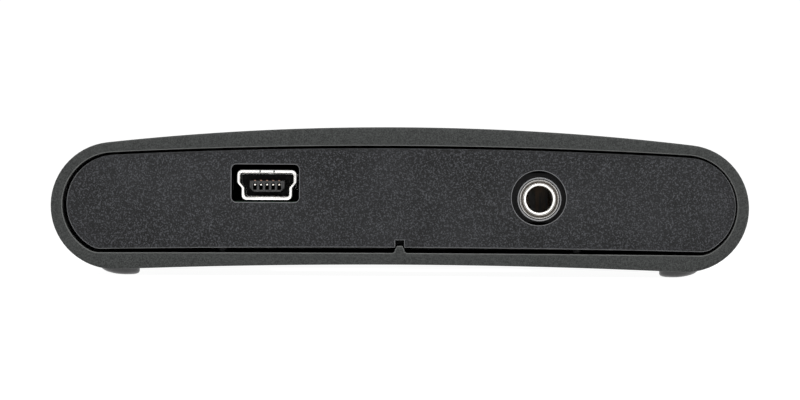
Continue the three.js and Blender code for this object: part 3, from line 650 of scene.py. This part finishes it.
def label_material():
    """A dark overlay with a fine hard-coat texture and a few faint scuffs."""
    look = Look("label_overlay", (0.016, 0.017, 0.019), 0.38)
    fine = look.noise(0.12, 2.0)
    scuffs = look.fit(look.noise(2.2, 5.0, look.stretched(1, 0.12, 1)), 0.62, 0.7, 0.0, 0.35)
    base = look.blend(fine, (0.011, 0.012, 0.014), (0.024, 0.025, 0.028))
    return look.surface(look.blend(scuffs, base, (0.045, 0.046, 0.05)), fine, 0.3, 0.46, 0.004)


def ink_material():
    """Screen-printed ink, with small gaps where it hasn't covered."""
    look = Look("label_ink", (0.5, 0.52, 0.53), 0.55)
    gaps = look.noise(0.1, 3.0)
    bare = look.fit(gaps, 0.62, 0.72, 0.0, 0.6)
    return look.surface(look.blend(bare, (0.5, 0.52, 0.53), (0.1, 0.1, 0.11)), gaps, 0.45, 0.65, 0.004)


def foil_material():
    """A silver polyester label, brushed along its length."""
    look = Look("label_foil", grey(0.42), 0.4, 0.6)
    brushed = look.noise(0.25, 4.0, look.stretched(0.06, 1, 1))
    return look.surface(look.blend(brushed, (0.34, 0.34, 0.345), grey(0.5)), brushed, 0.32, 0.5, 0.003)


# ---- Sleeve, feet, screws and labels ----


def sleeve_body():
    """The sleeve's skin: outside from rear to front, then the opening from front to rear."""
    low, high = box_of("case_sleeve")
    rear, front = low.y, high.y
    outside = [(SLEEVE_EDGE * i, rear + SLEEVE_EDGE * d) for i, d in QUARTER]
    outside += [(SLEEVE_EDGE * i, front - SLEEVE_EDGE * d) for i, d in reversed(QUARTER)]
    inside = [(OPENING_EDGE * i, front - OPENING_EDGE * d, flat_points) for i, d in QUARTER]
    inside += [(0.0, RIB["front_y"], flat_points), (0.0, RIB["front_y"] - 0.05, rib_points)]
    inside += [(OPENING_EDGE * i, rear + OPENING_EDGE * d, rib_points) for i, d in reversed(QUARTER)]
    rings = [along_y(sleeve_outline(inset), y) for inset, y in outside]
    rings += [along_y(opening_outline(grow, middle(grow)), y) for grow, y, middle in inside]
    return loft(rings, closed=True)


def foot_recess(node):
    centre, play = centre_of(node), LABEL["play"]
    radius, top = half_width(node) + play, box_of(node)[1].z + play
    return turned([(radius, -2), (radius, top)], centre.x, centre.y, along_z)


def countersink(node):
    centre = centre_of(node)
    face = box_of(node)[0].z
    bore = SCREW["shank"] + 0.3
    top = face + SCREW["head"]
    profile = [(2.5, face - 1.2), (2.5, face), (bore, top), (bore, top + 1.3)]
    return turned(profile, centre.x, centre.y, along_z)


def build_sleeve(material):
    piece = new_object("sleeve", sleeve_body())
    play = LABEL["play"]
    depth = LABEL["sink"] + LABEL["thickness"] + play
    carve(
        piece,
        *[foot_recess(node) for node in FEET],
        *[countersink(node) for node in CASE_SCREWS],
        sheet(TOP_LABEL, play, crown_z, -1.0, depth),
        sheet(RATING_LABEL, play, underside_z, -1.0, depth),
    )
    dress(piece, material, "sleeve", "case_sleeve")


def build_foot(node, material):
    """A rubber disc with a rounded shoulder. Its underside tapers away towards the case's round side."""
    centre, radius, top = centre_of(node), half_width(node), box_of(node)[1].z
    outwards = math.copysign(1, centre.x)
    face = [(share, 0.0) for share in (0.15, 0.3, 0.45, 0.57)]
    edge = [(0.7, 0.02), (0.8, 0.06), (0.88, 0.12), (0.94, 0.2), (0.98, 0.32), (1.0, 0.46)]
    edge += [(1.0, top - 0.05), (0.98, top)]
    profile = [(share * radius, z) for share, z in face + edge]
    corners, faces = turned(profile, centre.x, centre.y, along_z, 96)
    tapered = []
    for x, y, z in corners:
        beyond = max(0.0, outwards * (x - centre.x) + FOOT_TAPER["from"])
        tapered.append((x, y, max(z, min(top - 0.1, z + FOOT_TAPER["rate"] * beyond**2))))
    piece = new_object(node + "_pad", (tapered, faces))
    dress(piece, material, "foot", node)


def cross_recess(x, y, face, way):
    """A tapered cross that cuts into a screw head from its face. way is 1 upwards and -1 downwards."""
    def plus(size):
        arm, half = 1.15 * size, 0.3 * size
        arm_end = [(arm, -half), (arm, half), (half + 0.06, half + 0.06)]
        turns = [(1, 0), (0, 1), (-1, 0), (0, -1)]
        return [(x + c * px - s * py, y + s * px + c * py) for c, s in turns for px, py in arm_end]
    stations = [(1.04, -0.2), (1.0, 0.0), (0.72, 0.45), (0.4, 0.75)]
    return loft([along_z(plus(size), face + way * depth) for size, depth in stations])


def build_case_screw(node, material):
    """A countersunk machine screw, seen from below."""
    low, high = box_of(node)
    centre, radius = centre_of(node), half_width(node)
    head = [(radius - 0.2, 0), (radius - 0.06, 0.03), (radius, 0.11), (radius - 0.03, 0.17)]
    head.append((SCREW["shank"], SCREW["head"]))
    profile = [(r, low.z + z) for r, z in head] + [(SCREW["shank"], high.z)]
    piece = new_object(node + "_head", turned(profile, centre.x, centre.y, along_z, 64))
    carve(piece, cross_recess(centre.x, centre.y, low.z, 1))
    dress(piece, material, "screw", node)


def printed(path, width, surface, depth, ink=0.015):
    """A printed line through points on a label's face: one thin raised strip for each stretch."""
    strips, reach = [], width / 2
    for stretch in zip(path, path[1:]):
        (left, right), (near, far) = ((min(pair) - reach, max(pair) + reach) for pair in zip(*stretch))
        ring = [(left, near), (right, near), (right, far), (left, far)]
        strips.append(loft([[(x, y, surface(x, depth + lift)) for x, y in ring] for lift in (0.0, -ink)]))
    return together(*strips)


def wave(bits, left, baseline, step, height):
    """A square wave's corners from a string of 0 and 1."""
    path = []
    for i, bit in enumerate(bits):
        level = baseline + height * int(bit)
        path += [(left + i * step, level), (left + (i + 1) * step, level)]
    return path


def frame_path(half_x, half_y, steps):
    """A rectangular path, cut into short stretches across the curve."""
    xs = spread(-half_x, half_x, steps)
    return [(x, -half_y) for x in xs] + [(x, half_y) for x in reversed(xs)] + [(-half_x, -half_y)]


def build_label(node, names, size, surface, materials, lines):
    """A film that follows a curved face, and the print on it, from (path, width) pairs."""
    depth = LABEL["sink"]
    film = sheet(size, 0, surface, depth, depth + LABEL["thickness"])
    dress(new_object(names[0], film), materials[0], "label", node)
    ink = together(*[printed(path, width, surface, depth) for path, width in lines])
    dress(new_object(names[1], ink), materials[1], "label")


def build_labels():
    """The overlay on the crown, with a timing diagram, and a silver label below, with an empty ruled form."""
    ink = ink_material()
    bits = ["0101010101010101", "0011001100110011", "0111101000011110", "0000111111110000"]
    lines = [(wave(row, -26, 26 - 9 * i, 3.25, 4.2), 0.38) for i, row in enumerate(bits)]
    lines.append((frame_path(29.5, 40.5, 24), 0.25))
    names = ("top_overlay", "top_print")
    build_label("top_label", names, TOP_LABEL, crown_z, (label_material(), ink), lines)
    rules = [frame_path(15.5, 9.5, 8)] + [[(x, y) for x in spread(-15.5, 15.5, 8)] for y in (-3.2, 3.2)]
    names, lines = ("rating_foil", "rating_print"), [(path, 0.2) for path in rules]
    build_label("rating_label", names, RATING_LABEL, underside_z, (foil_material(), ink), lines)


# ---- End panels, button and lamps ----


def tabs(spots, inner, way):
    """A panel's tabs, from (centre, half width) pairs. way is 1 at the rear and -1 in front."""
    low, high = TAB["low_z"], TAB["low_z"] + TAB["thickness"]
    ends = sorted((inner - way * 0.4, inner + way * TAB["length"]))
    return [block((x + SHIFT["x"] - half, ends[0], low), (x + SHIFT["x"] + half, ends[1], high), 0.15)
            for x, half in spots]


def panel_slab(rear):
    """One end panel's plate, before its holes, with the Y of its outer and inner faces."""
    low, high = box_of("rear_panel" if rear else "front_panel")
    outer = low.y if rear else high.y
    inner = outer + PANEL["thickness"] * (1 if rear else -1)
    middle = notch_points if rear else plain_points
    plate = slab(lambda inset: panel_outline(inset, middle), min(outer, inner), max(outer, inner), PANEL_EDGE)
    return plate, outer, inner


def build_rear_panel(material):
    plate, outer, inner = panel_slab(rear=True)
    piece = new_object("rear_end_panel", plate)
    usb, jack = beside("usb_shell", USB_HOLE["offset"]), beside("jack_barrel", JACK_HOLE["offset"])
    half, corner = USB_HOLE["half"], USB_HOLE["corner"]
    carve(
        piece,
        flared(lambda grow: rounded_rectangle(*usb, half, corner, grow), outer, 3),
        round_hole(jack, JACK_HOLE["radius"], outer, 3, 96),
    )
    add_parts(piece, *tabs(REAR_TABS, inner, 1))
    dress(piece, material, "panel", "rear_panel")


def add_parts(piece, *parts):
    """Adds more closed solids to a piece's mesh."""
    extra = new_object("extra", together(*parts))
    joined = bmesh.new()
    joined.from_mesh(piece.data)
    joined.from_mesh(extra.data)
    joined.to_mesh(piece.data)
    joined.free()
    bpy.data.objects.remove(extra)


def round_hole(spot, radius, face, depth, segments=48):
    return flared(lambda grow: circle(*spot, radius + grow, segments), face, depth)


def beside(node, offset=(0, 0)):
    """A node's centre in XZ, or a point at an offset from it."""
    centre = centre_of(node)
    return centre.x + offset[0], centre.z + offset[1]


def build_front_panel(material):
    plate, outer, inner = panel_slab(rear=False)
    piece = new_object("front_end_panel", plate)
    header, half, corner = beside("probe_header"), WELL["half"], WELL["corner"]
    carve(
        piece,
        flared(lambda grow: rounded_rectangle(*header, half, corner, grow), outer, -3),
        round_hole(beside("start_button"), BUTTON_HOLE_RADIUS, outer, -3, 72),
        *[round_hole(beside(node), LAMP_HOLE_RADIUS, outer, -3) for node in LIGHT_PIPES],
    )
    window = [size - WELL["clearance"] - WELL["lap"] for size in half]
    outlines = [rounded_rectangle(*header, half, corner, grow) for grow in (0, WELL["wall"])]
    outlines.append(rounded_rectangle(*header, window, corner))
    rear = box_of("probe_header")[1].y - PIN["length"] + WELL["gap"]
    floor = rear + WELL["floor"]
    stations = [(0, inner + 0.2), (0, floor), (2, floor), (2, rear), (1, rear), (1, inner + 0.2)]
    rings = [along_y(outlines[i], y) for i, y in stations]
    add_parts(piece, loft(rings, closed=True), *tabs(FRONT_TABS, inner, -1))
    dress(piece, material, "panel", "front_panel")


def stem(node, collar):
    """The flanged part of a turned profile behind the front panel, and the radius in front of its collar."""
    rear, flange = box_of(node)[0].y, half_width(node)
    radius, inner, outer = flange - collar, FLANGE["inner"], FLANGE["outer"]
    return [(radius, rear), (radius, inner), (flange, inner), (flange, outer), (radius, outer)], radius


def build_button(material):
    """The start key: a round cap with a softly dished face, and the flange that keeps it in."""
    front = box_of("start_button")[1].y
    profile, radius = stem("start_button", 0.8)
    profile += [(radius - 0.45 * i, front - 0.45 * d) for i, d in reversed(QUARTER)]
    dish = (0.8, 0.65, 0.5, 0.35, 0.2, 0.05)
    profile += [(radius * share, front - 0.22 * (1 - share) ** 0.8) for share in dish]
    piece = new_object("start_key", turned(profile, *beside("start_button"), segments=96))
    dress(piece, material, "button", "start_button", body="button")


def build_light_pipe(node, material):
    dome = 0.3
    base = box_of(node)[1].y - dome
    profile, radius = stem(node, 0.5)
    profile += [(radius * math.cos(a), base + dome * math.sin(a)) for a in spread(0, math.pi / 2.1, 6)]
    piece = new_object(node + "_lens", turned(profile, *beside(node)))
    dress(piece, material, "lens", node)


# ---- USB port ----


RIM = [(0, 0.12), (0.07, 0.05), (0.2, 0.0), (0.38, 0.01), (0.5, 0.05), (0.62, 0.01), (0.8, 0.0), (0.93, 0.05),
       (1, 0.12)]  # how the shell's mouth is rounded: shares of its wall, and depths


def build_usb_shell(material, dark):
    """A folded sheet shell: a rim with a fold line, two dark plugs above that paint the shade of seam holes,
    and a relief in its lower lip.
    """
    low, high = box_of("usb_shell")
    x, z = beside("usb_shell")
    wall = USB["wall"]
    rings = [along_y(usb_outline(x, z), high.y)]
    for share, rise in RIM:
        rings.append(along_y(usb_outline(x, z, wall * share), low.y + rise))
    rings.append(along_y(usb_outline(x, z, wall), high.y - wall))
    piece = new_object("usb_port_shell", loft(rings))
    lip = z - USB["high"] + wall
    carve(piece, block((x - 1.48, low.y - 1, lip - 0.11), (x + 1.82, low.y + 1.6, lip + 0.1)))
    dress(piece, material, "shell", "usb_shell")
    # Two dark plugs on the top rim stand in for seam holes: painted shade.
    top = z + USB["high"] - wall / 2
    holes = [turned([(0.1, low.y - 0.02), (0.12, low.y), (0.12, low.y + 0.3)], x + offset, top, segments=20)
             for offset in (-0.9, 0.95)]
    dress(new_object("usb_port_seam_hole_shade", together(*holes)), dark, "connector")


def slot_tool(x, z, front, back):
    """The round-topped slot that one contact lies in."""
    half, top = 0.27, z + TONGUE["high"] - 0.2
    outline = [(x - half, z + TONGUE["low"] + 0.24), (x + half, z + TONGUE["low"] + 0.24)]
    outline += arc(x, top - half, half, 0, math.pi, 8)
    return loft([along_y(outline, front - 1), along_y(outline, back)])


def build_tongue(material, dark):
    x, z = beside("usb_shell")
    low, high = box_of("usb_tongue")
    base = low.y + TONGUE["length"]

    def section(inset):
        half, bevel = TONGUE["half"] - inset, TONGUE["bevel"]
        bottom, top = z + TONGUE["low"] + inset, z + TONGUE["high"] - inset
        return [(x - half + bevel, bottom), (x + half - bevel, bottom), (x + half, bottom + bevel),
                (x + half, top), (x - half, top), (x - half, bottom + bevel)]

    piece = new_object("usb_port_tongue", slab(section, low.y, base + 0.4, 0.07))
    carve(piece, *[slot_tool(centre_of(node).x, z, low.y, base) for node in CONTACTS])
    dress(piece, material, "connector", "usb_tongue")
    seat = slab(lambda inset: usb_outline(x, z, USB["wall"] + 0.12 + inset), base, high.y, 0.1)
    dress(new_object("usb_port_seat", seat), dark, "connector", "usb_tongue")


def build_contact(node, material):
    """A contact strip whose front end is rounded."""
    low, high = box_of(node)
    centre, top = centre_of(node).x, high.z
    half, thick = half_width(node), CONTACT["thick"]
    bend, back = high.y - CONTACT["leg_from"], high.y - CONTACT["leg_to"]
    strip = slab(
        lambda inset: rounded_rectangle(centre, top - thick / 2, (half, thick / 2), 0.1, -inset, 4),
        low.y, back, 0.09,
    )
    leg = block((centre - half, bend, low.z), (centre + half, back, top), 0.05)
    pad = block((centre - half, bend, low.z), (centre + half, high.y, low.z + 0.25), 0.05)
    dress(new_object(node + "_strip", together(strip, leg, pad)), material, "contact", node)


def build_contact_tips(material):
    """The contacts' folded tips, which show above the tongue, in a warm brown metal unlike the rest of each
    contact: a painted warm highlight.
    """
    top, mouth = centre_of("usb_shell").z + TONGUE["high"], box_of("usb_tongue")[0].y
    tips = []
    for x in [centre_of(node).x for node in CONTACTS]:
        tips.append(block((x - 0.13, mouth + 0.05, top - 0.05), (x + 0.13, mouth + 0.7, top + 0.09), 0.04))
    dress(new_object("usb_contact_tips", together(*tips)), material, "contact")


# ---- Jack ----


# The barrel's face: its lip out from the bore, then a ring, a groove and the collar. Radii and depths.
JACK_LIP = [(0, 5.0), (0, 0.26), (0.02, 0.16), (0.07, 0.07), (0.15, 0.015), (0.22, 0.0), (0.28, 0.02)]
JACK_COLLAR = [
    (2.09, 0.1), (2.12, 0.2), (2.14, 0.42), (2.26, 0.42), (2.28, 0.3), (2.31, 0.2),
    (2.37, 0.14), (2.43, 0.14), (2.48, 0.2), (2.51, 0.34), (2.52, 0.5), (2.6, 0.5),
    (2.61, 0.38), (2.64, 0.3), (2.7, 0.25), (2.79, 0.23), (2.88, 0.24), (2.93, 0.29),
]


def build_jack_barrel(material):
    """The turned barrel: a wide rolled lip round the bore, a narrow ring outside it, and an outer collar."""
    mouth = box_of("jack_barrel")[0].y
    barrel, neck, step = JACK["barrel"], JACK["neck"], JACK["step"]
    section = [(JACK["bore"] + out, depth) for out, depth in JACK_LIP] + JACK_COLLAR
    section += [(barrel, 0.38), (barrel, step), (neck, step), (neck, 5.0)]
    profile = [(radius, mouth + depth) for radius, depth in section]
    part = turned(profile, *beside("jack_barrel"), segments=128, closed=True)
    dress(new_object("jack_bushing", part), material, "plated", "jack_barrel")


def build_jack_liner(material):
    """The lining of the bore behind the barrel, closed at its far end."""
    mouth, back = box_of("jack_barrel")[1].y + 0.2, box_of("jack_housing")[1].y - 1.1
    outside = [(1.97, mouth), (1.97, back), (0.02, back)]
    inside = [(0.02, back - 0.2), (1.85, back - 0.2), (1.85, mouth)]
    part = turned(outside + inside, *beside("jack_barrel"), closed=True)
    dress(new_object("jack_bore_liner", part), material, "connector")


def build_jack_housing(material):
    low, high = box_of("jack_housing")
    spot, socket = beside("jack_barrel"), JACK["neck"] + 0.15
    piece = new_object("jack_body", block(low, high, 0.2))
    carve(
        piece,
        turned([(socket, low.y - 1), (socket, low.y + 3.1)], *spot),
        turned([(2.0, low.y), (2.0, high.y - 1)], *spot),
    )
    dress(piece, material, "connector", "jack_housing")


# ---- Probe header ----


def header_outline(x, z, half_x, half_z, columns, inset):
    """The insulator's section: a small notch between each pair of columns."""
    nick, floor = 0.32, z - half_z + inset
    low = []
    for i in range(columns + 1):
        at = x - half_x + i * PIN["pitch"]
        low += [(at - nick, floor), (at, floor + nick), (at + nick, floor)]
    low = [(x - half_x + inset, z - half_z + nick)] + low[2:-2] + [(x + half_x - inset, z - half_z + nick)]
    return low + [(px, 2 * z - pz) for px, pz in reversed(low)]


def build_header(insulation, plating):
    low, high = box_of("probe_header")
    x, z = beside("probe_header")
    half_x, half_z = (high.x - low.x) / 2, (high.z - low.z) / 2
    face = high.y - PIN["length"]
    columns, pitch = PIN["columns"], PIN["pitch"]
    body = slab(lambda inset: header_outline(x, z, half_x, half_z, columns, inset), face - pitch, face, 0.06)
    dress(new_object("header_insulator", body), insulation, "connector", "probe_header")
    tip, half, taper = PIN["tip"], PIN["half"], PIN["taper"]
    stations = [(tip, low.y), (half, low.y + taper), (half, high.y - taper), (tip + 0.03, high.y - 0.06)]
    stations.append((tip, high.y))
    pins = []
    for column in range(columns):
        for row in (-0.5, 0.5):
            px = x + (column - (columns - 1) / 2) * pitch
            pz = z + row * pitch
            rings = [along_y(rounded_rectangle(px, pz, (r, r), 0.04, 0.0, 1), y) for r, y in stations]
            pins.append(loft(rings))
    dress(new_object("header_pins", together(*pins)), plating, "header", "probe_header")


# ---- CAD nodes that stay as they are, with materials and softened edges ----


def finish_node(name, material, slot, edge=0.0):
    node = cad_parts[name]
    node.data.materials.clear()
    node.data.materials.append(material)
    if edge:
        round_edges(node, edge)


def finish_inside():
    """Materials and softened edges of the CAD nodes that stay, by a part of their names, from a table of
    material, slot and edge.
    """
    chip, connector = stock("chip_epoxy"), stock("connector_black")
    finishes = {
        "chassis_tray": (stock("tray_charcoal"), "tray", 0.0),
        "main_board": (board_material(), "board", 0.0),
        "_chip": (chip, "chip", 0.08),
        "power_inductor": (chip, "chip", 0.08),
        "capacitor_": (stock("capacitor_ochre"), "capacitor", 0.12),
        "jack_spring_": (stock("jack_nickel"), "plated", 0.05),
        "board_screw_": (stock("screw_black_zinc"), "screw", 0.05),
        "led_": (led_material(), "led", 0.08),
        "clock_crystal": (stock("shell_steel"), "shell", 0.15),
        "button_switch": (connector, "connector", 0.15),
        "switch_plunger": (connector, "connector", 0.1),
    }
    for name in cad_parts:
        for part_of_name, finish in finishes.items():
            if part_of_name in name:
                finish_node(name, *finish)


# ---- Stage, lights and camera ----

WORLD = {"light": 0.45, "reflected": 0.85, "seen": 1.05}
CAMERA = {"distance": 650.0, "across": 105.54, "x": 0.015, "z": 10.13, "roll": 0.32}


def build_floor():
    """A plain white floor that glows a little, as a lit table does."""
    corners = [(-9000, -9000, 0), (9000, -9000, 0), (9000, 9000, 0), (-9000, 9000, 0)]
    floor = new_object("floor", (corners, [(0, 1, 2, 3)]))
    look = Look("floor_white", (0.3, 0.3, 0.3), 0.9, Specular_IOR_Level=0.0)
    look.set("Emission Color", (1, 1, 1, 1))
    look.set("Emission Strength", 0.95)
    floor.data.materials.append(look.material)


def build_world():
    """White where the camera sees it, bright in reflections, and softer where it lights the object."""
    world = bpy.data.worlds.new("studio")
    bpy.context.scene.world = world
    world.use_nodes = True
    tree = world.node_tree
    background = tree.nodes["Background"]
    background.inputs["Color"].default_value = (1, 1, 1, 1)
    ray = add_node(tree, "ShaderNodeLightPath").outputs
    level = WORLD["light"]
    for output, strength in (("Is Glossy Ray", WORLD["reflected"]), ("Is Camera Ray", WORLD["seen"])):
        inputs = {"Value": ray[output], "To Min": level, "To Max": strength}
        level = add_node(tree, "ShaderNodeMapRange", inputs).outputs["Result"]
    tree.links.new(level, background.inputs["Strength"])


def softbox(name, place, size, power):
    """An area light at a place in millimetres, aimed at the object. The camera doesn't see it."""
    light = bpy.data.lights.new(name, "AREA")
    light.shape = "RECTANGLE"
    light.size, light.size_y = size[0] * MM, size[1] * MM
    light.energy = power
    lamp = bpy.data.objects.new(name, light)
    lamp.location = Vector(place) * MM
    lamp.rotation_euler = (Vector((0, 0, 8)) - Vector(place)).to_track_quat("-Z", "Y").to_euler()
    lamp.visible_camera = False
    bpy.context.scene.collection.objects.link(lamp)


def build_lights():
    softbox("top_softbox", (60, -150, 700), (900, 700), 3.5)
    softbox("front_softbox", (120, -900, 420), (900, 500), 2.5)
    softbox("left_strip", (-620, -330, 180), (200, 500), 0.8)
    softbox("right_strip", (620, -330, 180), (200, 500), 1.4)


def build_camera():
    """The photograph's view: level with the case, square to its rear end, turned very slightly."""
    data = bpy.data.cameras.new("camera")
    data.sensor_width = 36
    data.lens = data.sensor_width * CAMERA["distance"] / CAMERA["across"]
    data.clip_start, data.clip_end = 0.05, 30
    camera = bpy.data.objects.new("camera", data)
    rear = box_of("case_sleeve")[0].y
    place = Vector((CAMERA["x"], rear - CAMERA["distance"], CAMERA["z"])) * MM
    level = Matrix.Rotation(math.radians(90), 4, "X")
    roll = Matrix.Rotation(math.radians(-CAMERA["roll"]), 4, "Y")
    camera.matrix_world = Matrix.Translation(place) @ roll @ level
    bpy.context.scene.collection.objects.link(camera)
    bpy.context.scene.camera = camera


# ---- Assembly ----

FEET = sorted(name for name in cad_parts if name.startswith("foot_"))
CASE_SCREWS = sorted(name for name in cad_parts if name.startswith("case_screw"))
CONTACTS = sorted(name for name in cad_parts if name.startswith("usb_contact"))
LIGHT_PIPES = sorted(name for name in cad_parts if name.startswith("light_pipe"))


def build_case():
    build_sleeve(stock("sleeve_satin"))
    rubber = rubber_material()
    for node in FEET:
        build_foot(node, rubber)
    for node in CASE_SCREWS:
        build_case_screw(node, stock("screw_black_zinc"))
    build_labels()


def build_ends():
    build_rear_panel(stock("panel_speckled"))
    build_front_panel(stock("panel_speckled"))
    build_button(stock("button_grey"))
    lens = lens_material()
    for node in LIGHT_PIPES:
        build_light_pipe(node, lens)
    build_usb_shell(stock("shell_steel"), stock("seat_black_and_hole_shade"))
    build_tongue(stock("tongue_grey"), stock("seat_black_and_hole_shade"))
    for node in CONTACTS:
        build_contact(node, stock("contact_bright"))
    build_contact_tips(stock("contact_tip_warm_highlight"))
    build_jack_barrel(barrel_material())
    build_jack_housing(stock("connector_black"))
    build_jack_liner(liner_material())
    build_header(stock("connector_black"), stock("contact_gold"))


build_case()
build_ends()
finish_inside()
build_floor()
build_world()
build_lights()
build_camera()
bpy.context.scene.view_settings.view_transform = "Standard"
